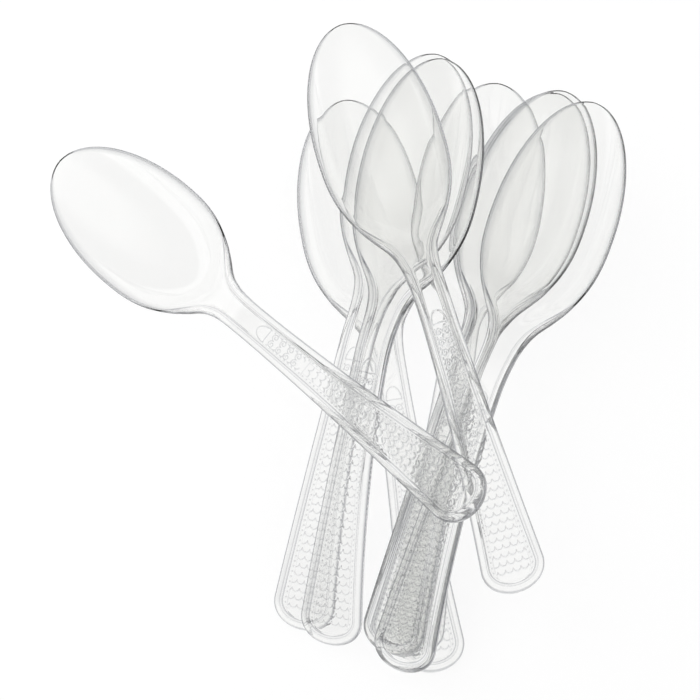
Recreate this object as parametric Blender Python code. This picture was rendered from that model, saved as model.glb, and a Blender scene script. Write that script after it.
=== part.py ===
"""A pack of nine clear plastic spoons, lying in an overlapping fan with the bowls up. Metres, +Z up.

Each spoon is one moulding: a thin egg-shaped bowl with a fine rim, and a handle of two raised rails with a thin
web between them. All nine share one mesh. They are laid one after another: the fan gives each one's place seen
from above, and it is then let down until it lies steady on the floor and on the spoons laid before it.
"""

import math

import bpy
import numpy as np
from mathutils import Matrix, Vector
from mathutils.bvhtree import BVHTree

MM = 0.001

# Spoon, seen from above
SPOON_LENGTH = 175 * MM
BOWL_WIDTH = 38 * MM
BOWL_FRONT = 38 * MM  # from the tip to the widest line
BOWL_BACK = 37 * MM  # from the widest line to the point where the bowl's own outline would close
BOWL_BACK_FULLNESS = 2.6  # higher is blunter towards the neck
NECK_WIDTH = 9.4 * MM
NECK_FILLET = 6 * MM
HANDLE_END_WIDTH = 20 * MM
HANDLE_END_ROUND = 8 * MM
HANDLE_FLARE = 1.8  # higher keeps the handle slim for longer

# Spoon, seen from the side
BOWL_DEPTH = 9.3 * MM
BOWL_FULLNESS = 2.5  # higher is flatter at the bottom and steeper at the rim
BOWL_BACK_EASE = 0.6  # higher is a gentler rise of the bowl's floor towards the neck
RIM_DIP = 0.8 * MM
NECK_RISE = 9.5 * MM
NECK_RUN = 34 * MM
HANDLE_DROP = 16 * MM
HANDLE_CREST = 85 * MM  # from the handle's end to its highest line

# Walls, rim and rails
WALL = 1.1 * MM
RIM_WIDTH = 0.9 * MM
RIM_HEIGHT = 0.8 * MM
RAIL_WIDTH = 2.6 * MM
EDGE_MOST = 0.45  # the widest that the rim or rail may be, as a share of the half width
RAIL_HEIGHT = 2.7 * MM
WEB_DROP = 1.5 * MM  # from the top of the rails down to the web
RAIL_START = 17 * MM  # ahead of the bowl's closing point
RAIL_RUN = 10 * MM
RAIL_SIDE = 8  # higher is a steeper fall from the rail to the web
WEB_BLEND = 1.6 * MM  # how softly the bowl's shell runs out into the web
END_BORDER = 2.6 * MM

# Loft
TIP_SECTIONS = 10
SHOULDER_SECTIONS = 10
HANDLE_SECTIONS = 7
END_SECTIONS = 4
FIRST_TIP_ANGLE = math.radians(4)
FIRST_END_ANGLE = math.radians(12)
SHOULDER_BEHIND = 9 * MM  # how far behind the bowl's closing point the close sections go on
INNER_SHARES = (1, 0.9, 0.7, 0.4, 0, -0.4, -0.7, -0.9, -1)
UNDER_SHARES = (-1, -0.85, -0.6, -0.3, 0, 0.3, 0.6, 0.85, 1)

# The fan, from the lowest spoon to the top one: where the bowl's widest line lies along X and Y, in hundredths of the
# spoon's length, the way that the spoon points, from its handle's end to its tip, in degrees from +X, and how far it
# leans over to its right, in degrees.
FAN_UNIT = SPOON_LENGTH / 100
FAN = (
    (2.9, 16.6, 99, 0),
    (22.9, 18.9, 81, 4),
    (29.7, 16.0, 73, -12),
    (30.3, 15.4, 72, -12),
    (34.3, 10.9, 70, -12),
    (10.3, 21.7, 76, -12),
    (12.0, 18.9, 78, -16),
    (5.7, 24.0, 107, 0),
    (-34.9, 14.3, 136, -14),
)

# Laying
CONTACT_GAP = 0.3 * MM
PROBE_SPACING = 2 * MM
SETTLING_ROUNDS = 8
STILL = 1e-6
FAR_OUT = 10
FAR_DOWN = 1000

# Clear polystyrene
CLEAR_PLASTIC = (0.93, 0.95, 0.93, 1)
CLEAR_ROUGHNESS = 0.06
CLEAR_IOR = 1.59


def smooth_step(low, high, value):
    """0 up to low, 1 from high on, and an even curve between."""
    share = min(1.0, max(0.0, (value - low) / (high - low)))
    return share * share * (3 - 2 * share)


def smooth_max(first, second, fillet):
    return (first + second + math.hypot(first - second, fillet)) / 2


def widest_line():
    return SPOON_LENGTH - BOWL_FRONT


def closing_point():
    return widest_line() - BOWL_BACK


def off_centre(x):
    """How far x is from the bowl's widest line: 1 at the tip, and 1 at the closing point, past which it grows."""
    if x > widest_line():
        return (x - widest_line()) / BOWL_FRONT
    return (widest_line() - x) / BOWL_BACK


def handle_half_width(x):
    neck = closing_point()
    flare = max(0.0, 1 - x / neck) ** HANDLE_FLARE
    half = (NECK_WIDTH + (HANDLE_END_WIDTH - NECK_WIDTH) * flare) / 2
    if x < HANDLE_END_ROUND:
        half *= math.sqrt(max(0.0, 1 - (1 - x / HANDLE_END_ROUND) ** 2))
    return half


def half_width(x):
    share = off_centre(x)
    if x > widest_line():
        return BOWL_WIDTH / 2 * math.sqrt(max(0.0, 1 - share * share))
    bowl = BOWL_WIDTH / 2 * (1 - share**BOWL_BACK_FULLNESS)
    return smooth_max(bowl, handle_half_width(x), NECK_FILLET * min(1.0, share))


def rim_height(x):
    """The line of the rim and of the rails' tops, seen from the side."""
    middle = closing_point()
    rise = NECK_RISE * (1 - smooth_step(middle - NECK_RUN / 2, middle + NECK_RUN / 2, x))
    drop = HANDLE_DROP * max(0.0, 1 - x / HANDLE_CREST) ** 2
    dip = RIM_DIP * max(0.0, 1 - off_centre(x) ** 2)
    return rise - drop - dip


def hollow(x, share, depth):
    """The bowl's depth at this share of the half width. It is negative behind the closing point."""
    along = off_centre(x) ** 2
    from_middle = along + (1 - along) * share * share
    filled = 1 - max(0.0, from_middle) ** (BOWL_FULLNESS / 2)
    if 0 < filled and x < widest_line():
        filled **= 1 + BOWL_BACK_EASE * along
    return depth * filled


def railed(x):
    """0 in the bowl, and 1 where the rim has become a full rail."""
    start = closing_point() + RAIL_START
    return 1 - smooth_step(start - RAIL_RUN, start, x)


def section(x):
    """One closed ring across the spoon at x: up the left edge, over the top to the right, and back underneath."""
    half = half_width(x)
    top = rim_height(x)
    share_railed = railed(x)
    edge_width = min(RIM_WIDTH + (RAIL_WIDTH - RIM_WIDTH) * share_railed, EDGE_MOST * half)
    edge_height = RIM_HEIGHT + (RAIL_HEIGHT - RIM_HEIGHT) * share_railed
    web_drop = WEB_DROP * share_railed * smooth_step(END_BORDER / 2, END_BORDER * 3 / 2, x)
    inner_half = half - edge_width
    softness = WEB_BLEND * share_railed
    ring = [(half, top)]
    for share in INNER_SHARES:
        inward = 1 - share**RAIL_SIDE
        depth = smooth_max(hollow(x, share, BOWL_DEPTH), web_drop * inward, softness * inward)
        ring.append((inner_half * share, top - depth))
    ring.append((-half, top))
    for share in UNDER_SHARES:
        inward = 1 - share**RAIL_SIDE
        shell = RIM_HEIGHT + hollow(x, share, BOWL_DEPTH + WALL - RIM_HEIGHT)
        depth = smooth_max(shell, edge_height, softness * inward)
        ring.append((half * share, top - depth))
    return [(x, y, z) for y, z in ring]


def section_places():
    """Where the sections stand, from the handle's end to the tip, closer together where the outline turns."""
    end_angles = np.linspace(FIRST_END_ANGLE, math.radians(90), END_SECTIONS)
    end = HANDLE_END_ROUND * (1 - np.cos(end_angles))
    shoulder_end = closing_point() - SHOULDER_BEHIND
    handle = np.linspace(HANDLE_END_ROUND, shoulder_end, HANDLE_SECTIONS + 2)[1:-1]
    shoulder = np.linspace(shoulder_end, widest_line(), SHOULDER_SECTIONS)
    tip_angles = np.linspace(math.radians(90), FIRST_TIP_ANGLE, TIP_SECTIONS + 1)[1:]
    tip = widest_line() + BOWL_FRONT * np.cos(tip_angles)
    return [float(x) for x in np.concatenate([end, handle, shoulder, tip])]


def spoon_mesh(material):
    """The spoon's own mesh, with its handle's end at the origin and its tip along +X."""
    rings = [section(x) for x in section_places()]
    around = len(rings[0])
    vertices = [point for ring in rings for point in ring]
    faces = [tuple(reversed(range(around)))]
    for ring in range(len(rings) - 1):
        for step in range(around):
            near = ring * around + step
            near_next = ring * around + (step + 1) % around
            faces.append((near, near_next, near_next + around, near + around))
    faces.append(tuple(range((len(rings) - 1) * around, len(rings) * around)))
    mesh = bpy.data.meshes.new("spoon")
    mesh.from_pydata(vertices, [], faces)
    mesh.materials.append(material)
    mesh.update()
    return mesh


def clear_plastic():
    material = bpy.data.materials.new("clear_polystyrene")
    material.use_nodes = True
    shader = material.node_tree.nodes["Principled BSDF"]
    shader.inputs["Base Color"].default_value = CLEAR_PLASTIC
    shader.inputs["Roughness"].default_value = CLEAR_ROUGHNESS
    shader.inputs["Metallic"].default_value = 0
    shader.inputs["IOR"].default_value = CLEAR_IOR
    shader.inputs["Transmission Weight"].default_value = 1
    return material


def edge_probes(points, triangles):
    """Points along every edge of the mesh, close enough together to find where two spoons would touch."""
    edges = {tuple(sorted(pair)) for a, b, c in triangles for pair in ((a, b), (b, c), (c, a))}
    probes = [points]
    for a, b in sorted(edges):
        steps = math.ceil(np.linalg.norm(points[b] - points[a]) / PROBE_SPACING)
        shares = np.arange(1, steps)[:, None] / steps
        probes.append(points[a] + shares * (points[b] - points[a]))
    return np.concatenate(probes)


def volume_centre(points, triangles):
    corners = points[np.array(triangles)]
    volumes = np.linalg.det(corners)[:, None]
    return (volumes * corners.sum(axis=1)).sum(axis=0) / (4 * volumes.sum())


def moved(points, pose):
    matrix = np.array(pose)
    return points @ matrix[:3, :3].T + matrix[:3, 3]


def steady_line(places, heights):
    """The lowest line that is nowhere under the heights, held up on both sides of place 0.

    It comes back as its height at place 0 and its slope. It starts from two supports far out and far down, and
    takes in the height that stands out most until none does.
    """
    behind = (-FAR_OUT, -FAR_DOWN)
    ahead = (FAR_OUT, -FAR_DOWN)
    while True:
        slope = (ahead[1] - behind[1]) / (ahead[0] - behind[0])
        height = ahead[1] - slope * ahead[0]
        over = heights - height - slope * places
        highest = int(np.argmax(over))
        if over[highest] < STILL:
            return height, slope
        if places[highest] < 0:
            behind = (places[highest], heights[highest])
        else:
            ahead = (places[highest], heights[highest])


class Pile:
    """The spoons laid so far, as one surface to lie on, and the way to lay another."""

    def __init__(self, mesh):
        mesh.calc_loop_triangles()
        self.triangles = [tuple(triangle.vertices) for triangle in mesh.loop_triangles]
        self.points = np.array([vertex.co for vertex in mesh.vertices])
        self.spoon_tree = BVHTree.FromPolygons(self.points.tolist(), self.triangles)
        self.probes = edge_probes(self.points, self.triangles)
        self.centre = volume_centre(self.points, self.triangles)
        self.laid_points = []
        self.laid_probes = []
        self.tree = None

    def ground(self, x, y):
        """The height to lie on: the floor, or the spoons laid so far and the gap kept to them."""
        if self.tree is None:
            return 0.0
        hit = self.tree.ray_cast(Vector((x, y, 1)), Vector((0, 0, -1)))[0]
        return 0.0 if hit is None else max(0.0, hit.z + CONTACT_GAP)

    def underside(self, pose, inverse, x, y):
        """The height of the posed spoon's underside, or None beside the spoon."""
        start = inverse @ Vector((x, y, -1))
        way = inverse.to_3x3() @ Vector((0, 0, 1))
        hit = self.spoon_tree.ray_cast(start, way)[0]
        return None if hit is None else (pose @ hit).z

    def lifts(self, pose):
        """Where the posed spoon could touch, and how far it would have to rise there to be clear."""
        own = moved(self.probes, pose)
        low, high = own.min(axis=0)[:2], own.max(axis=0)[:2]
        places = [own[:, :2]]
        for probes in self.laid_probes:
            inside = ((probes[:, :2] > low) & (probes[:, :2] < high)).all(axis=1)
            places.append(probes[inside, :2])
        inverse = pose.inverted()
        found = []
        for x, y in np.concatenate(places):
            under = self.underside(pose, inverse, x, y)
            if under is not None:
                found.append((x, y, self.ground(x, y) - under))
        found = np.array(found)
        return found[:, :2], found[:, 2]

    def lay(self, x, y, heading, lean):
        """The pose at which a spoon lies steady from end to end, with its bowl's widest line at x and y."""
        turn = Matrix.Rotation(math.radians(heading), 4, "Z") @ Matrix.Rotation(math.radians(lean), 4, "X")
        pose = Matrix.Translation((x, y, 0)) @ turn @ Matrix.Translation((-widest_line(), 0, 0))
        way = np.array((math.cos(math.radians(heading)), math.sin(math.radians(heading))))
        across = Vector((-way[1], way[0], 0))
        for _ in range(SETTLING_ROUNDS):
            places, lifts = self.lifts(pose)
            centre = Vector(moved(self.centre, pose))
            rise, slope = steady_line((places - np.array(centre[:2])) @ way, lifts)
            tilt = Matrix.Rotation(-math.atan(slope), 4, across)
            pose = Matrix.Translation(centre + Vector((0, 0, rise))) @ tilt @ Matrix.Translation(-centre) @ pose
            if max(abs(rise), abs(slope)) < STILL:
                break
        pose = Matrix.Translation((0, 0, self.lifts(pose)[1].max())) @ pose
        self.add(pose)
        return pose

    def add(self, pose):
        self.laid_points.append(moved(self.points, pose))
        self.laid_probes.append(moved(self.probes, pose))
        count = len(self.points)
        triangles = []
        for spoon in range(len(self.laid_points)):
            triangles += [tuple(corner + spoon * count for corner in corners) for corners in self.triangles]
        self.tree = BVHTree.FromPolygons(np.concatenate(self.laid_points).tolist(), triangles)

    def middle(self):
        """The middle of the whole pile, seen from above, at the floor."""
        points = np.concatenate(self.laid_points)
        low, high = points.min(axis=0), points.max(axis=0)
        return Vector(((low[0] + high[0]) / 2, (low[1] + high[1]) / 2, 0))


def clear_scene():
    for obj in list(bpy.data.objects):
        bpy.data.objects.remove(obj, do_unlink=True)


def main():
    clear_scene()
    collection = bpy.data.collections.new("cutlery_pack")
    bpy.context.scene.collection.children.link(collection)
    mesh = spoon_mesh(clear_plastic())
    pile = Pile(mesh)
    poses = [pile.lay(x * FAN_UNIT, y * FAN_UNIT, heading, lean) for x, y, heading, lean in FAN]
    to_origin = Matrix.Translation(-pile.middle())
    for number, pose in enumerate(poses, start=1):
        spoon = bpy.data.objects.new(f"spoon_{number}", mesh)
        spoon.matrix_world = to_origin @ pose
        collection.objects.link(spoon)


main()
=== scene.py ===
"""The pack of nine clear plastic spoons, lying in its fan on a white floor, seen from above.

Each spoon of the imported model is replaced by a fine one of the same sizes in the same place. The fine spoon
has a smoother bowl, rounded rims and rails with a fine step along them, and a moulded relief on the web.
"""

import itertools
import math

import bpy
import numpy as np
from mathutils import Matrix, Vector
from mathutils.kdtree import KDTree


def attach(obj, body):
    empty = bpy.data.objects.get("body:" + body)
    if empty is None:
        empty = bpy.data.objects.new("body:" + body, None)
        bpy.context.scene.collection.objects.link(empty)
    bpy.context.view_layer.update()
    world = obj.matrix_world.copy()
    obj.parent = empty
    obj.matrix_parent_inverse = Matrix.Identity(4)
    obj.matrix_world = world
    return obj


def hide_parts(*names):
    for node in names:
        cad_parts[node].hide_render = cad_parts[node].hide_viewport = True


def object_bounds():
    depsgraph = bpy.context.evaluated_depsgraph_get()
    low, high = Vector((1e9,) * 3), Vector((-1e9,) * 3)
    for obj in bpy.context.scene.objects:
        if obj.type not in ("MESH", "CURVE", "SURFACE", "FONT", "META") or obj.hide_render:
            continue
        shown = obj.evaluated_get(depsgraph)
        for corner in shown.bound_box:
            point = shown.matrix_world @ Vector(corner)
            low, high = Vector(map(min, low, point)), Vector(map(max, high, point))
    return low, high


MM = 0.001

# The spoon's sizes, as the CAD model has them: x runs from the handle's end to the bowl, y across, z up
SPOON_LENGTH = 175 * MM
BOWL_WIDTH = 38 * MM
BOWL_FRONT = 38 * MM
BOWL_BACK = 37 * MM
BOWL_BACK_FULLNESS = 2.6
NECK_WIDTH = 9.4 * MM
NECK_FILLET = 6 * MM
HANDLE_END_WIDTH = 20 * MM
HANDLE_END_ROUND = 8 * MM
HANDLE_FLARE = 1.8
BOWL_DEPTH = 9.3 * MM
BOWL_FULLNESS = 2.5
BOWL_BACK_EASE = 0.6
RIM_DIP = 0.8 * MM
NECK_RISE = 9.5 * MM
NECK_RUN = 34 * MM
HANDLE_DROP = 16 * MM
HANDLE_CREST = 85 * MM
WALL = 1.1 * MM
RIM_WIDTH = 0.9 * MM
RIM_HEIGHT = 0.8 * MM
RAIL_WIDTH = 2.6 * MM
EDGE_MOST = 0.45  # the most that a rim or a rail takes of the half width
RAIL_HEIGHT = 2.7 * MM
WEB_DROP = 1.5 * MM
RAIL_START = 17 * MM
RAIL_RUN = 10 * MM
RAIL_SIDE = 8  # how steeply the web and the underside meet the rails
WEB_BLEND = 1.6 * MM
END_BORDER = 2.6 * MM
TIP_SECTIONS = 10
SHOULDER_SECTIONS = 10
HANDLE_SECTIONS = 7
END_SECTIONS = 4
FIRST_TIP_ANGLE = math.radians(4)
FIRST_END_ANGLE = math.radians(12)
SHOULDER_BEHIND = 9 * MM
INNER_SHARES = (1, 0.9, 0.7, 0.4, 0, -0.4, -0.7, -0.9, -1)
UNDER_SHARES = (-1, -0.85, -0.6, -0.3, 0, 0.3, 0.6, 0.85, 1)

# The fine spoon's grid
WEB_STEP = 0.27 * MM
BOWL_STEP = 0.55 * MM
END_RINGS = 26
TIP_RINGS = 67
FINE_END_ANGLE = math.radians(3)
END_RINGS_ANGLE = math.radians(60)
FINE_TIP_ANGLE = math.radians(1.5)
WEB_POINTS = 57
WEB_GRID_SHARE = 0.97  # how far out the web's even grid reaches
WEB_EDGE_SHARE = 0.994  # how far out its last point lies, hard by the rail
RAIL_POINTS = 10
CORNER_POINTS = 4
UNDER_POINTS = 17

# The fine spoon's rims and rails
EDGE_ROUND = 0.3 * MM
RIM_CROWN = 0.12 * MM
RAIL_CROWN = 0.7 * MM
CROWN_FULLNESS = 2.5
RIM_STEP = 0.22 * MM
RAIL_STEP_DEPTH = 0.2 * MM
RAIL_STEP_PLACE = 0.62  # from the rail's outer edge, 0, to its inner edge, 1
RAIL_STEP_RUN = 0.06
WEB_SIDE = 16  # how steeply the fine web meets them
WEB_LEAST = 0.04  # the least that the web keeps of the half width in the end's border
END_WALL = 0.8 * MM  # over what length the web drops behind the end's border

# The relief on the web, from the neck to the handle's end
RELIEF_TOP = 84 * MM
BEADS_TOP = 81 * MM
ARCH_FOOT = 78.8 * MM
ARCH_LENGTH = 4 * MM
ARCH_HALF_WIDTH = 2.3 * MM
FIRST_SCROLLS = 76.2 * MM
SCROLLS_END = 64 * MM
SCROLL_PITCH = 3.1 * MM
SCROLL_RADIUS = 1.15 * MM
SCROLL_TURNS = 1.4
SCROLL_WINDING = 0.8  # how much of its radius a scroll loses on its way in
LEAF_FLATNESS = 0.8
BAR_PLACE = 63 * MM
BAR_HALF_WIDTH = 2.6 * MM
RELIEF_END = 5 * MM
RELIEF_RUN_OUT = 2 * MM
LINE_WIDTH = 0.5 * MM
LINE_HEIGHT = 0.2 * MM
SCALE_PITCH = 2.3 * MM
SCALE_RADIUS = 1.15 * MM
SCALES_INSET = 0.55 * MM
BEAD_PITCH = 1.5 * MM
BEAD_RADIUS = 0.46 * MM
BEAD_INSET = 0.75 * MM
BORDER_LINE_INSET = 0.6 * MM
BORDER_LINE_WIDTH = 0.3 * MM
BORDER_LINE_HEIGHT = 0.1 * MM
SPIRAL_POINTS = 40
ARC_POINTS = 24

# Painted shade, from 0 to 1: how strongly grey lines are drawn where the clear plastic's shape gathers or
# bends the light
CORNER_LINE = 0.9
LOW_CORNER_LINE = 0.6
RIM_LINE = 0.45
RIM_INNER_LINE = 0.75
RAIL_STEP_LINE = 0.7
RAIL_OUTER_LINE = 0.7
RELIEF_LINE = 0.75
WEB_LINE = 0.04

# Where those lines begin and are full across a rim or a rail, from its outer edge, 0, to its inner edge, 1
INNER_LINE_START = 0.8
INNER_LINE_WIDENING = 0.35  # how much further it spreads where the rim grows into the rail
RIM_OUTER_LINE_START = 0.4
RIM_OUTER_LINE_FULL = 0.1
RAIL_OUTER_LINE_START = 0.12
STEP_LINE_REACH = 0.1

# Materials
# Painted shade: the grey mixed into the clear plastic along its lines, for the dark edges that refraction and
# reflection give
PAINTED_SHADE_GREY = (0.24, 0.25, 0.28, 1)
CLEAR = (0.985, 0.985, 0.98, 1)
CLEAR_HAZY = (0.97, 0.972, 0.962, 1)
SHADOW = (0.985, 0.985, 0.985, 1)
POLYSTYRENE_ROUGHNESS = 0.03
POLYSTYRENE_REFRACTION = 1.59
WAVE_SCALE = 90
WAVE_DETAIL = 1
WAVE_STRENGTH = 0.04
WAVE_HEIGHT = 0.4 * MM
HAZE_SCALE = 35
HAZE_DETAIL = 2
FLOOR_COLOUR = (0.8, 0.8, 0.8, 1)
WHITE = (1, 1, 1, 1)
FLOOR_LIFT = 0.1  # how much the floor glows, for what is seen only, to come out white

# Camera, floor and light
ELEVATION = math.radians(74)
DISTANCE = 1.2
PIXELS_PER_MM = 3.42
IMAGE_PIXELS = 700
SENSOR_MM = 36
AIM_SIDE = 5 * MM
CAMERA_REACH = 20
FLOOR_SIZE = 8
FLOOR_LOW = -0.1 * MM
SKY = ((0.12, 1), (0.2, 0.45), (0.6, 0.45), (0.85, 0.9))  # how high up, and how bright
KEY_PLACE = (-0.9, 0.5, 1.3)
KEY_SIZE = 0.8
KEY_POWER = 12
FILL_PLACE = (1.1, -0.3, 1.2)
FILL_SIZE = 1.0
FILL_POWER = 6
CLEAR_BOUNCES = 40
GLOSS_BOUNCES = 8
SHADOW_BOUNCES = 60


def eased(share):
    """A share from 0 to 1 that starts and ends softly."""
    return share * share * (3 - 2 * share)


def smooth_step(low, high, value):
    return eased(min(1.0, max(0.0, (value - low) / (high - low))))


def smooth_max(first, second, fillet):
    return (first + second + np.hypot(first - second, fillet)) / 2


def fade(places, start, full):
    """0 up to the start, rising evenly to 1 where it is full. It may run either way."""
    return np.clip((places - start) / (full - start), 0, 1)


def widest_line():
    return SPOON_LENGTH - BOWL_FRONT


def closing_point():
    return widest_line() - BOWL_BACK


def off_centre(x):
    if x > widest_line():
        return (x - widest_line()) / BOWL_FRONT
    return (widest_line() - x) / BOWL_BACK


def end_round(x):
    """The handle's half width at x as a share of what it would be without the round end."""
    if x >= HANDLE_END_ROUND:
        return 1.0
    return math.sqrt(max(0.0, 1 - (1 - x / HANDLE_END_ROUND) ** 2))


def handle_half_width(x):
    flare = max(0.0, 1 - x / closing_point()) ** HANDLE_FLARE
    half = (NECK_WIDTH + (HANDLE_END_WIDTH - NECK_WIDTH) * flare) / 2
    return half * end_round(x)


def half_width(x):
    share = off_centre(x)
    if x > widest_line():
        return BOWL_WIDTH / 2 * math.sqrt(max(0.0, 1 - share * share))
    bowl = BOWL_WIDTH / 2 * (1 - share**BOWL_BACK_FULLNESS)
    return float(smooth_max(bowl, handle_half_width(x), NECK_FILLET * min(1.0, share)))


def rim_height(x):
    middle = closing_point()
    rise = NECK_RISE * (1 - smooth_step(middle - NECK_RUN / 2, middle + NECK_RUN / 2, x))
    drop = HANDLE_DROP * max(0.0, 1 - x / HANDLE_CREST) ** 2
    dip = RIM_DIP * max(0.0, 1 - off_centre(x) ** 2)
    return rise - drop - dip


def hollow(x, shares, depth):
    """The bowl's depth at these shares of the half width, for a bowl this deep in the middle."""
    along = off_centre(x) ** 2
    from_middle = along + (1 - along) * np.square(shares)
    filled = 1 - np.maximum(0.0, from_middle) ** (BOWL_FULLNESS / 2)
    if x < widest_line():
        filled = np.where(filled > 0, np.abs(filled) ** (1 + BOWL_BACK_EASE * along), filled)
    return depth * filled


def railed(x):
    """0 in the bowl, where the edge is a fine rim, and 1 along the handle, where it is a full rail."""
    start = closing_point() + RAIL_START
    return 1 - smooth_step(start - RAIL_RUN, start, x)


def edge_sizes(x, half):
    """How wide and how high the rim or the rail is at x."""
    share_railed = railed(x)
    width = min(RIM_WIDTH + (RAIL_WIDTH - RIM_WIDTH) * share_railed, EDGE_MOST * half)
    height = RIM_HEIGHT + (RAIL_HEIGHT - RIM_HEIGHT) * share_railed
    return width, height


def web_drop(x, border_start, border_end):
    """How far the web lies under its rails. It is level with them in the border at the handle's end."""
    return WEB_DROP * railed(x) * smooth_step(border_start, border_end, x)


def web_depth(x, shares, drop, side):
    """How far the bowl's floor or the web lies under the rim. The one runs out softly into the other."""
    inward = 1 - np.abs(shares) ** side
    return smooth_max(hollow(x, shares, BOWL_DEPTH), drop * inward, WEB_BLEND * railed(x) * inward)


def under_depth(x, shares, edge_height):
    """How far the underside lies under the rim, with the bowl's shell running out softly into the handle."""
    inward = 1 - np.abs(shares) ** RAIL_SIDE
    shell = RIM_HEIGHT + hollow(x, shares, BOWL_DEPTH + WALL - RIM_HEIGHT)
    return smooth_max(shell, edge_height, WEB_BLEND * railed(x) * inward)


# The plain spoon, as the CAD model has it. It is only used to find where each spoon lies.


def plain_section(x):
    half = half_width(x)
    top = rim_height(x)
    edge_width, edge_height = edge_sizes(x, half)
    drop = web_drop(x, END_BORDER / 2, END_BORDER * 3 / 2)
    ring = [(x, half, top)]
    for share in INNER_SHARES:
        ring.append((x, (half - edge_width) * share, top - web_depth(x, share, drop, RAIL_SIDE)))
    ring.append((x, -half, top))
    for share in UNDER_SHARES:
        ring.append((x, half * share, top - under_depth(x, share, edge_height)))
    return ring


def plain_places():
    end_angles = np.linspace(FIRST_END_ANGLE, math.pi / 2, END_SECTIONS)
    end = HANDLE_END_ROUND * (1 - np.cos(end_angles))
    shoulder_end = closing_point() - SHOULDER_BEHIND
    handle = np.linspace(HANDLE_END_ROUND, shoulder_end, HANDLE_SECTIONS + 2)[1:-1]
    shoulder = np.linspace(shoulder_end, widest_line(), SHOULDER_SECTIONS)
    tip_angles = np.linspace(math.pi / 2, FIRST_TIP_ANGLE, TIP_SECTIONS + 1)[1:]
    tip = widest_line() + BOWL_FRONT * np.cos(tip_angles)
    return [float(x) for x in np.concatenate([end, handle, shoulder, tip])]


def loft(rings):
    """Vertices and faces of one closed skin through rings of the same number of points."""
    around = len(rings[0])
    vertices = [tuple(point) for ring in rings for point in ring]
    faces = [tuple(reversed(range(around)))]
    for ring in range(len(rings) - 1):
        for step in range(around):
            near = ring * around + step
            near_next = ring * around + (step + 1) % around
            faces.append((near, near_next, near_next + around, near + around))
    faces.append(tuple(range((len(rings) - 1) * around, len(rings) * around)))
    return vertices, faces


def make_mesh(name, rings):
    vertices, faces = loft(rings)
    mesh = bpy.data.meshes.new(name)
    mesh.from_pydata(vertices, [], faces)
    mesh.update()
    return mesh


def solid_axes(vertices, triangles):
    """The centre of the solid inside a closed mesh, and its principal axes, the longest first."""
    corners = vertices[triangles]
    volumes = np.linalg.det(corners)
    centre = (volumes[:, None] * corners.sum(axis=1)).sum(axis=0) / (4 * volumes.sum())
    local = corners - centre
    volumes = np.linalg.det(local)
    sums = local.sum(axis=1)
    of_sums = np.einsum("t,ti,tj->ij", volumes, sums, sums)
    of_corners = np.einsum("t,tci,tcj->ij", volumes, local, local)
    _, axes = np.linalg.eigh(of_sums + of_corners)
    return centre, axes[:, ::-1]


def mesh_arrays(mesh):
    mesh.calc_loop_triangles()
    vertices = np.array([vertex.co for vertex in mesh.vertices])
    triangles = np.array([tuple(triangle.vertices) for triangle in mesh.loop_triangles])
    return vertices, triangles


def vertex_tree(vertices):
    tree = KDTree(len(vertices))
    for index, vertex in enumerate(vertices):
        tree.insert(Vector(vertex), index)
    tree.balance()
    return tree


def farthest_miss(points, tree):
    """The farthest that any of the points lies from the tree's nearest vertex."""
    misses = []
    for point in points:
        _, _, distance = tree.find(Vector(point))
        misses.append(distance)
    return max(misses)


def placement(plain, node):
    """The placement that lays the plain spoon on a CAD node: axes on axes, turned the way that fits best."""
    plain_vertices, plain_triangles = mesh_arrays(plain)
    vertices, triangles = mesh_arrays(node.data)
    plain_centre, plain_axes = solid_axes(plain_vertices, plain_triangles)
    centre, axes = solid_axes(vertices, triangles)
    tree = vertex_tree(vertices)
    least_miss = math.inf
    best_turn = None
    for signs in itertools.product((-1, 1), repeat=3):
        turn = axes @ np.diag(signs) @ plain_axes.T
        if np.linalg.det(turn) < 0:
            continue
        miss = farthest_miss((plain_vertices - plain_centre) @ turn.T + centre, tree)
        if miss < least_miss:
            least_miss = miss
            best_turn = turn
    print(f"{node.name}: placed to {least_miss / MM:.3f} mm")
    pose = Matrix(best_turn.tolist()).to_4x4()
    pose.translation = Vector(centre - best_turn @ plain_centre)
    return pose


# The relief on the web, as lines drawn in the plane of the web: x along the handle, y across it


def spiral(x, y, radius, start, turns, side):
    """A scroll: from the outer end at this angle, winding inwards."""
    shares = np.linspace(0, 1, SPIRAL_POINTS)
    angles = start + side * shares * turns * 2 * math.pi
    radii = radius * (1 - SCROLL_WINDING * shares)
    return np.stack([x + radii * np.cos(angles), y + radii * np.sin(angles)], axis=1)


def arc(x, y, radius_x, radius_y, start, end):
    angles = np.linspace(math.radians(start), math.radians(end), ARC_POINTS)
    return np.stack([x + radius_x * np.cos(angles), y + radius_y * np.sin(angles)], axis=1)


def cross_line(x, half):
    return np.array([(x, -half), (x, half)])


def scroll_pair(x, radius):
    """Two scrolls side by side, each with a leaf behind it."""
    lines = []
    for side in (-1, 1):
        lines.append(spiral(x, side * radius, radius, -side * math.pi / 2, SCROLL_TURNS, side))
        lines.append(arc(x - radius, side * radius, radius, radius * LEAF_FLATNESS, 90 * side, 180 * side))
    return lines


def relief_lines():
    """An arch on its cross line, rows of paired scrolls, and a bar that ends them."""
    lines = [arc(ARCH_FOOT, 0, ARCH_LENGTH, ARCH_HALF_WIDTH, -90, 90)]
    lines.append(cross_line(ARCH_FOOT, ARCH_HALF_WIDTH))
    x = FIRST_SCROLLS
    while x > SCROLLS_END:
        lines += scroll_pair(x, SCROLL_RADIUS)
        x -= SCROLL_PITCH
    lines.append(cross_line(BAR_PLACE, BAR_HALF_WIDTH))
    return lines


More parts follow.
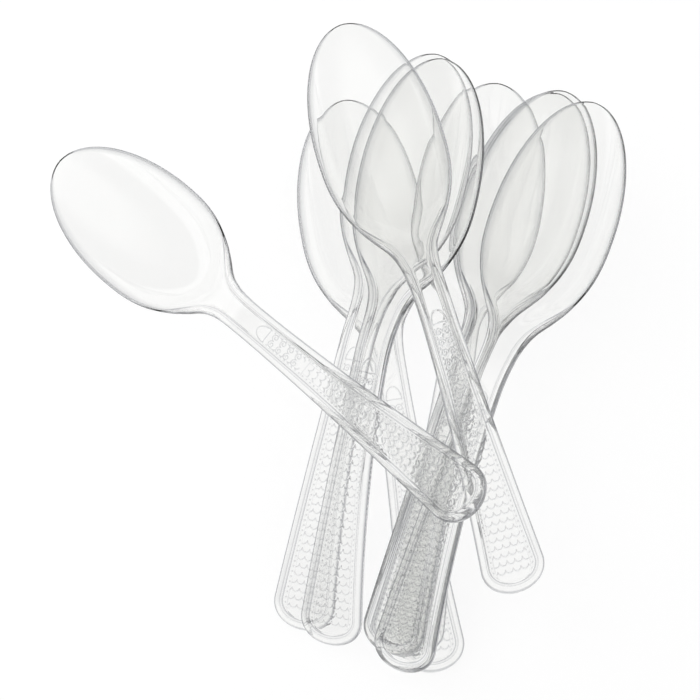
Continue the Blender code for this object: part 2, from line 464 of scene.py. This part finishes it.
def distance_to_lines(x, y, lines):
    """The distance from each place across the web at x to the nearest of the drawn lines."""
    points = np.stack([np.full(len(y), x), y], axis=1)
    nearest = np.full(len(y), math.inf)
    for line in lines:
        for start, end in zip(line[:-1], line[1:]):
            way = end - start
            share = np.clip((points - start) @ way / (way @ way), 0, 1)
            gaps = points - start - share[:, None] * way
            nearest = np.minimum(nearest, np.hypot(gaps[:, 0], gaps[:, 1]))
    return nearest


def distance_to_scales(x, y):
    """The distance to the nearest arc of the scallops: staggered rows, round towards the handle's end."""
    row = math.floor(x / SCALE_PITCH) + 1
    shift = row % 2 / 2
    column = np.round(y / (2 * SCALE_RADIUS) - shift) + shift
    radius = np.hypot(x - row * SCALE_PITCH, y - column * 2 * SCALE_RADIUS)
    return np.abs(radius - SCALE_RADIUS)


def ridge(distance, width, height):
    """A line's rounded ridge."""
    return height * eased(np.clip(1 - distance / (width / 2), 0, 1))


def relief_height(x, y, web_half):
    """How far the moulded relief stands up from the web, at places across it."""
    height = np.zeros(len(y))
    if BAR_PLACE - LINE_WIDTH < x < RELIEF_TOP:
        height = ridge(distance_to_lines(x, y, relief_lines()), LINE_WIDTH, LINE_HEIGHT)
    if not RELIEF_END < x < BEADS_TOP:
        return height
    from_beads = np.abs(y) - (web_half - BEAD_INSET)
    if x < BAR_PLACE:
        scales = ridge(distance_to_scales(x, y), LINE_WIDTH, LINE_HEIGHT)
        height = np.where(from_beads < -SCALES_INSET, scales, height)
        from_line = np.abs(from_beads + BORDER_LINE_INSET)
        height = np.maximum(height, ridge(from_line, BORDER_LINE_WIDTH, BORDER_LINE_HEIGHT))
    along = abs(x % BEAD_PITCH - BEAD_PITCH / 2)
    return np.maximum(height, ridge(np.hypot(along, from_beads), 2 * BEAD_RADIUS, LINE_HEIGHT))


# The fine spoon, built from rings of points. A point holds its place across the spoon, how far it lies
# under the rim's crest line, and how strongly it is drawn as a grey line of painted shade.


def fine_places():
    """Where the fine rings stand: close together along the relief and at both ends, and wider elsewhere."""
    end_angles = np.linspace(FINE_END_ANGLE, END_RINGS_ANGLE, END_RINGS)
    end = HANDLE_END_ROUND * (1 - np.cos(end_angles))
    relief_count = int((RELIEF_TOP - end[-1]) / WEB_STEP)
    relief = np.linspace(end[-1], RELIEF_TOP, relief_count)[1:]
    body_count = int((widest_line() - RELIEF_TOP) / BOWL_STEP)
    body = np.linspace(RELIEF_TOP, widest_line(), body_count)[1:]
    tip_angles = np.linspace(math.pi / 2, FINE_TIP_ANGLE, TIP_RINGS + 1)[1:]
    tip = widest_line() + BOWL_FRONT * np.cos(tip_angles)
    return [float(x) for x in np.concatenate([end, relief, body, tip])]


def rail_top(shares, share_railed):
    """How far the top of a rim or rail lies under its crest, from outer edge, 0, to inner edge, 1."""
    crown = RIM_CROWN + (RAIL_CROWN - RIM_CROWN) * share_railed
    step = RAIL_STEP_DEPTH * share_railed * fade(shares, RAIL_STEP_PLACE, RAIL_STEP_PLACE + RAIL_STEP_RUN)
    return crown * np.abs(2 * shares - 1) ** CROWN_FULLNESS + step


def rail_shade_lines(shares, share_railed):
    """How strongly each place across the rim or the rail is drawn as a grey line of painted shade."""
    halfway = 4 * share_railed * (1 - share_railed)
    inner = fade(shares + INNER_LINE_WIDENING * halfway, INNER_LINE_START, 1)
    rim_outer = fade(shares, RIM_OUTER_LINE_START, RIM_OUTER_LINE_FULL)
    rim = np.maximum(RIM_LINE, np.maximum(RIM_INNER_LINE * inner, rim_outer))
    from_step = np.abs(shares - RAIL_STEP_PLACE - RAIL_STEP_RUN / 2)
    step = RAIL_STEP_LINE * fade(from_step, STEP_LINE_REACH, 0)
    rail_outer = RAIL_OUTER_LINE * fade(shares, RAIL_OUTER_LINE_START, 0)
    rail = np.maximum(step, np.maximum(inner, rail_outer))
    return np.maximum(rim * (1 - share_railed) + rail * share_railed, inner * halfway)


def web_half_width(x, half):
    """Half the width of the web between the rails. It closes in a round end, which leaves a border."""
    if x >= HANDLE_END_ROUND:
        edge_width, _ = edge_sizes(x, half)
        return half - edge_width
    closed = 1 - max(0.0, x - END_BORDER) / (HANDLE_END_ROUND - END_BORDER)
    side = half / end_round(x) - RAIL_WIDTH
    return max(side * math.sqrt(max(0.0, 1 - closed * closed)), WEB_LEAST * half)


def border_shares(x, y, half, corner):
    """How far in from the outline each place on the round end's border is: 0 at its corner, 1 at the web."""
    back = HANDLE_END_ROUND - x
    reach = np.hypot(back / HANDLE_END_ROUND, y * end_round(x) / half)
    inward = np.hypot(back, y) * (1 / reach - 1)
    return np.clip((inward - corner) / (RAIL_WIDTH - corner), 0, 1)


def edge_points(x, half, inner_half, corner):
    """The left rim or rail, from its rounded outer corner in to the web."""
    share_railed = railed(x)
    shares = np.linspace(0, 1, RAIL_POINTS)
    y = half - corner - shares * (half - inner_half - corner)
    if x < HANDLE_END_ROUND:
        shares = border_shares(x, y, half, corner)
    depth = rail_top(shares, share_railed)
    turn = np.linspace(0, math.pi / 2, CORNER_POINTS)[:-1]
    corner_y = half - corner + corner * np.cos(turn)
    corner_depth = depth[0] + corner - corner * np.sin(turn)
    round_corner = list(zip(corner_y, corner_depth, np.full(len(turn), CORNER_LINE)))
    return round_corner + list(zip(y, depth, rail_shade_lines(shares, share_railed)))


def web_points(x, half, inner_half, corner):
    """The bowl's floor, or the web with its relief, from left to right."""
    share_railed = railed(x)
    grid = np.linspace(WEB_GRID_SHARE, -WEB_GRID_SHARE, WEB_POINTS)
    shares = np.concatenate([[WEB_EDGE_SHARE], grid, [-WEB_EDGE_SHARE]])
    y = inner_half * shares
    drop = web_drop(x, END_BORDER, END_BORDER + END_WALL)
    floor = web_depth(x, shares, drop, WEB_SIDE) + RIM_STEP * (1 - share_railed)
    rail_shares = np.ones(len(y))
    if x < HANDLE_END_ROUND:
        rail_shares = border_shares(x, y, half, corner)
    depth = np.maximum(floor, rail_top(rail_shares, share_railed))
    line = np.where(rail_shares < 1, rail_shade_lines(rail_shares, share_railed), 0)
    run_out = smooth_step(RELIEF_END - RELIEF_RUN_OUT / 2, RELIEF_END + RELIEF_RUN_OUT / 2, x)
    raised = run_out * relief_height(x, y, inner_half)
    line = np.maximum(line, RELIEF_LINE * raised / LINE_HEIGHT)
    if x < ARCH_FOOT:
        line = np.maximum(line, WEB_LINE * run_out)
    return list(zip(y, depth - raised, line))


def low_corner_points(half, edge_height, corner):
    """The left edge's rounded lower corner, from the underside out to the side."""
    turn = np.linspace(math.pi / 2, 0, CORNER_POINTS)
    y = half - corner + corner * np.cos(turn)
    depth = edge_height - corner + corner * np.sin(turn)
    return list(zip(y, depth, np.full(len(turn), LOW_CORNER_LINE)))


def under_points(x, half, edge_height, corner):
    """The underside between its two corners, from right to left."""
    y = (half - corner) * np.linspace(-1, 1, UNDER_POINTS + 2)[1:-1]
    return list(zip(y, under_depth(x, y / half, edge_height), np.zeros(len(y))))


def mirrored(points):
    return [(-y, depth, line) for y, depth, line in reversed(points)]


def fine_section(x):
    """One closed ring: left edge, web or bowl, right edge, then back along the underside."""
    half = half_width(x)
    inner_half = web_half_width(x, half)
    _, edge_height = edge_sizes(x, half)
    corner = min(EDGE_ROUND, (half - inner_half) / 2, edge_height / 3)
    edge = edge_points(x, half, inner_half, corner)
    web = web_points(x, half, inner_half, corner)
    low_corner = low_corner_points(half, edge_height, corner)
    under = under_points(x, half, edge_height, corner)
    return edge + web + mirrored(edge) + mirrored(low_corner) + under + low_corner


def keep_painted_shade(mesh, sections):
    """Keeps each point's strength of painted shade lines on the mesh, for the material."""
    attribute = mesh.attributes.new("line", "FLOAT", "POINT")
    attribute.data.foreach_set("value", [float(line) for section in sections for _, _, line in section])


def shade_smooth(mesh):
    """Smooth all over, but for the two small flat ends of the skin."""
    mesh.polygons.foreach_set("use_smooth", [True] * len(mesh.polygons))
    mesh.polygons[0].use_smooth = False
    mesh.polygons[len(mesh.polygons) - 1].use_smooth = False


def fine_spoon():
    places = fine_places()
    sections = [fine_section(x) for x in places]
    rings = []
    for x, section in zip(places, sections):
        top = rim_height(x)
        rings.append([(x, y, top - depth) for y, depth, _ in section])
    mesh = make_mesh("fine_spoon", rings)
    keep_painted_shade(mesh, sections)
    shade_smooth(mesh)
    mesh.materials.append(clear_polystyrene())
    return mesh


# Materials


def maximum_of(tree, first, second):
    """The larger of two sockets' values."""
    larger = tree.nodes.new("ShaderNodeMath")
    larger.operation = "MAXIMUM"
    tree.links.new(first, larger.inputs[0])
    tree.links.new(second, larger.inputs[1])
    return larger.outputs["Value"]


def noise(tree, scale, detail):
    """Soft clouds that stay fixed on the object."""
    place = tree.nodes.new("ShaderNodeTexCoord")
    clouds = tree.nodes.new("ShaderNodeTexNoise")
    clouds.inputs["Scale"].default_value = scale
    clouds.inputs["Detail"].default_value = detail
    tree.links.new(place.outputs["Object"], clouds.inputs["Vector"])
    return clouds.outputs["Fac"]


def colour_mix(tree, share):
    mix = tree.nodes.new("ShaderNodeMix")
    mix.data_type = "RGBA"
    tree.links.new(share, mix.inputs["Factor"])
    return mix


def haze_and_painted_shade(tree):
    """Clear with a faint haze, and grey painted shade where a line is drawn."""
    tint = colour_mix(tree, noise(tree, HAZE_SCALE, HAZE_DETAIL))
    tint.inputs["A"].default_value = CLEAR
    tint.inputs["B"].default_value = CLEAR_HAZY
    # Painted shade: grey mixed in by each point's line strength, where rims, rails and relief bend light away
    line = tree.nodes.new("ShaderNodeAttribute")
    line.attribute_name = "line"
    grey = colour_mix(tree, line.outputs["Fac"])
    grey.inputs["B"].default_value = PAINTED_SHADE_GREY
    tree.links.new(tint.outputs["Result"], grey.inputs["A"])
    return grey.outputs["Result"]


def moulding_waves(tree):
    """The faint waves of a moulded surface."""
    bump = tree.nodes.new("ShaderNodeBump")
    bump.inputs["Strength"].default_value = WAVE_STRENGTH
    bump.inputs["Distance"].default_value = WAVE_HEIGHT
    tree.links.new(noise(tree, WAVE_SCALE, WAVE_DETAIL), bump.inputs["Height"])
    return bump.outputs["Normal"]


def lit_through(tree, surface):
    """The surface as it is seen, but one that lets nearly all light on to what lies beneath."""
    path = tree.nodes.new("ShaderNodeLightPath")
    passing = maximum_of(tree, path.outputs["Is Shadow Ray"], path.outputs["Is Diffuse Ray"])
    through = tree.nodes.new("ShaderNodeBsdfTransparent")
    through.inputs["Color"].default_value = SHADOW
    mix = tree.nodes.new("ShaderNodeMixShader")
    tree.links.new(passing, mix.inputs["Fac"])
    tree.links.new(surface, mix.inputs[1])
    tree.links.new(through.outputs["BSDF"], mix.inputs[2])
    return mix.outputs["Shader"]


def clear_polystyrene():
    """Clear plastic with the faint waves and haze of a moulding, and grey lines of painted shade. A lamp's
    shadow through it stays light.
    """
    material = bpy.data.materials.new("clear_polystyrene")
    material.use_nodes = True
    tree = material.node_tree
    shader = tree.nodes["Principled BSDF"]
    shader.inputs["Roughness"].default_value = POLYSTYRENE_ROUGHNESS
    shader.inputs["IOR"].default_value = POLYSTYRENE_REFRACTION
    shader.inputs["Transmission Weight"].default_value = 1
    tree.links.new(haze_and_painted_shade(tree), shader.inputs["Base Color"])
    tree.links.new(moulding_waves(tree), shader.inputs["Normal"])
    surface = lit_through(tree, shader.outputs["BSDF"])
    tree.links.new(surface, tree.nodes["Material Output"].inputs["Surface"])
    return material


def seen_ray(tree):
    """1 for what the camera sees, straight, in gloss or through clear plastic."""
    path = tree.nodes.new("ShaderNodeLightPath")
    straight_or_gloss = maximum_of(tree, path.outputs["Is Camera Ray"], path.outputs["Is Glossy Ray"])
    return maximum_of(tree, straight_or_gloss, path.outputs["Is Transmission Ray"])


def floor_material():
    """A white floor that keeps the pack's shadow."""
    material = bpy.data.materials.new("white_floor")
    material.use_nodes = True
    tree = material.node_tree
    tree.nodes.remove(tree.nodes["Principled BSDF"])
    matt = tree.nodes.new("ShaderNodeBsdfDiffuse")
    matt.inputs["Color"].default_value = FLOOR_COLOUR
    lift = tree.nodes.new("ShaderNodeEmission")
    lift.inputs["Color"].default_value = WHITE
    strength = tree.nodes.new("ShaderNodeMath")
    strength.operation = "MULTIPLY"
    strength.inputs[1].default_value = FLOOR_LIFT
    both = tree.nodes.new("ShaderNodeAddShader")
    tree.links.new(seen_ray(tree), strength.inputs[0])
    tree.links.new(strength.outputs["Value"], lift.inputs["Strength"])
    tree.links.new(matt.outputs["BSDF"], both.inputs[0])
    tree.links.new(lift.outputs["Emission"], both.inputs[1])
    tree.links.new(both.outputs["Shader"], tree.nodes["Material Output"].inputs["Surface"])
    return material


# The scene round the pack


def add_spoons(nodes):
    plain = make_mesh("plain_spoon", [plain_section(x) for x in plain_places()])
    fine = fine_spoon()
    for name in sorted(nodes):
        mesh = fine.copy()
        mesh.transform(placement(plain, nodes[name]))
        piece = bpy.data.objects.new(f"clear_{name}", mesh)
        bpy.context.scene.collection.objects.link(piece)
        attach(piece, "root")
        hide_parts(name)


def add_floor():
    half = FLOOR_SIZE / 2
    corners = [(x * half, y * half, FLOOR_LOW) for x, y in ((-1, -1), (1, -1), (1, 1), (-1, 1))]
    mesh = bpy.data.meshes.new("floor")
    mesh.from_pydata(corners, [], [tuple(range(len(corners)))])
    mesh.materials.append(floor_material())
    floor = bpy.data.objects.new("floor", mesh)
    bpy.context.scene.collection.objects.link(floor)


def add_world():
    """White round the horizon, grey above it and nearly white overhead, for grey lines in rims and rails."""
    world = bpy.data.worlds.new("studio")
    world.use_nodes = True
    bpy.context.scene.world = world
    tree = world.node_tree
    place = tree.nodes.new("ShaderNodeTexCoord")
    parts = tree.nodes.new("ShaderNodeSeparateXYZ")
    ramp = tree.nodes.new("ShaderNodeValToRGB")
    stops = ramp.color_ramp.elements
    for index, (height, level) in enumerate(SKY):
        if index == len(stops):
            stops.new(height)
        stops[index].position = height
        stops[index].color = (level, level, level, 1)
    tree.links.new(place.outputs["Generated"], parts.inputs["Vector"])
    tree.links.new(parts.outputs["Z"], ramp.inputs["Fac"])
    tree.links.new(ramp.outputs["Color"], tree.nodes["Background"].inputs["Color"])


def add_lamp(name, place, size, power):
    """A square lamp that shines at the pack's middle and isn't seen in gloss or through the plastic."""
    light = bpy.data.lights.new(name, "AREA")
    light.size = size
    light.energy = power
    lamp = bpy.data.objects.new(name, light)
    lamp.location = place
    lamp.rotation_euler = (-Vector(place)).to_track_quat("-Z", "Y").to_euler()
    lamp.visible_glossy = False
    lamp.visible_transmission = False
    bpy.context.scene.collection.objects.link(lamp)


def add_camera(low, high):
    """Looks down on the pack, aimed a little to the right of its middle."""
    middle = (Vector(low) + Vector(high)) / 2
    aim = middle + Vector((AIM_SIDE, 0, 0))
    back = Vector((0, -math.cos(ELEVATION), math.sin(ELEVATION)))
    data = bpy.data.cameras.new("camera")
    data.sensor_width = SENSOR_MM
    data.lens = SENSOR_MM * DISTANCE / MM * PIXELS_PER_MM / IMAGE_PIXELS
    data.clip_end = CAMERA_REACH
    camera = bpy.data.objects.new("camera", data)
    camera.location = aim + DISTANCE * back
    camera.rotation_euler = (-back).to_track_quat("-Z", "Y").to_euler()
    bpy.context.scene.collection.objects.link(camera)
    bpy.context.scene.camera = camera


def set_light_paths(scene):
    """Enough bounces for light to pass through all the spoons that lie on one another."""
    scene.cycles.max_bounces = CLEAR_BOUNCES
    scene.cycles.transmission_bounces = CLEAR_BOUNCES
    scene.cycles.glossy_bounces = GLOSS_BOUNCES
    scene.cycles.transparent_max_bounces = SHADOW_BOUNCES


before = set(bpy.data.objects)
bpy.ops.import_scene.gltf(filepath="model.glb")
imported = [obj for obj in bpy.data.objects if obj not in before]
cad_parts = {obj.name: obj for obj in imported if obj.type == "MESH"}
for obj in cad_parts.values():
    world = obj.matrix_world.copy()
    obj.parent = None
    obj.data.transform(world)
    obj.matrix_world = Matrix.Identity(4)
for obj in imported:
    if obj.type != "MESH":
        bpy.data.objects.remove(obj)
cad_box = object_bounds()
bpy.context.scene.view_settings.view_transform = "Standard"
set_light_paths(bpy.context.scene)
add_spoons(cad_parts)
add_floor()
add_world()
add_lamp("key", KEY_PLACE, KEY_SIZE, KEY_POWER)
add_lamp("fill", FILL_PLACE, FILL_SIZE, FILL_POWER)
add_camera(*cad_box)
